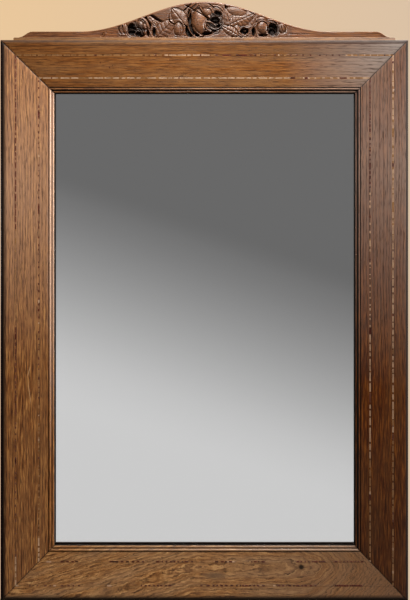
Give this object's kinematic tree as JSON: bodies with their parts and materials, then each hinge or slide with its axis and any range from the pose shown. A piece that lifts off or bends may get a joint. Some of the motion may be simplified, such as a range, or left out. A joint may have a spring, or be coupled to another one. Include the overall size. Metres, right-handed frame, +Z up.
{
  "type": "framed wall mirror",
  "caption": "Rectangular wall mirror in a mitred oak frame with chequered stringing, a carved arched cresting and two hanging rings behind.",
  "frame": {"origin": "middle of the flat back of the top rail, where the mirror lies against the wall", "axes": "+Z up, front faces -Y, +X to the right of someone who looks into the mirror"},
  "size_m": [0.64, 0.0396, 0.9411],
  "materials": {
    "oak": "satin varnish",
    "oak_crest": "satin varnish",
    "stringing": "satin varnish",
    "beech": "raw",
    "pine": "raw",
    "silvered_glass": "polished",
    "brass": "dull",
    "steel": "dull"
  },
  "bodies": {
    "frame": {"top_rail": "oak", "bottom_rail": "oak", "left_stile": "oak", "right_stile": "oak", "mitre_tongue_top_left": "beech", "mitre_tongue_top_right": "beech", "mitre_tongue_bottom_left": "beech", "mitre_tongue_bottom_right": "beech", "stringing_top_outer": "stringing", "stringing_top_inner": "stringing", "stringing_bottom_outer": "stringing", "stringing_bottom_inner": "stringing", "stringing_left_outer": "stringing", "stringing_left_inner": "stringing", "stringing_right_outer": "stringing", "stringing_right_inner": "stringing", "crest_board": "oak_crest", "crest_dowels": "beech", "mirror_plate": "silvered_glass", "glazing_blocks": "pine", "back_board_left": "pine", "back_board_centre": "pine", "back_board_right": "pine", "back_board_nails": "steel", "hanger_strap_left": "brass", "hanger_strap_right": "brass", "hanger_screws": "brass"},
    "ring_left": {"hanger_ring_left": "brass"},
    "ring_right": {"hanger_ring_right": "brass"}
  },
  "joints": [
    {"name": "ring_left_swing", "type": "hinge", "parent": "frame", "child": "ring_left", "pos_m": [-0.288, 0.00278, -0.178], "axis": [-1, 0, 0], "range_deg": [0, 176]},
    {"name": "ring_right_swing", "type": "hinge", "parent": "frame", "child": "ring_right", "pos_m": [0.288, 0.00278, -0.178], "axis": [-1, 0, 0], "range_deg": [0, 176]}
  ]
}
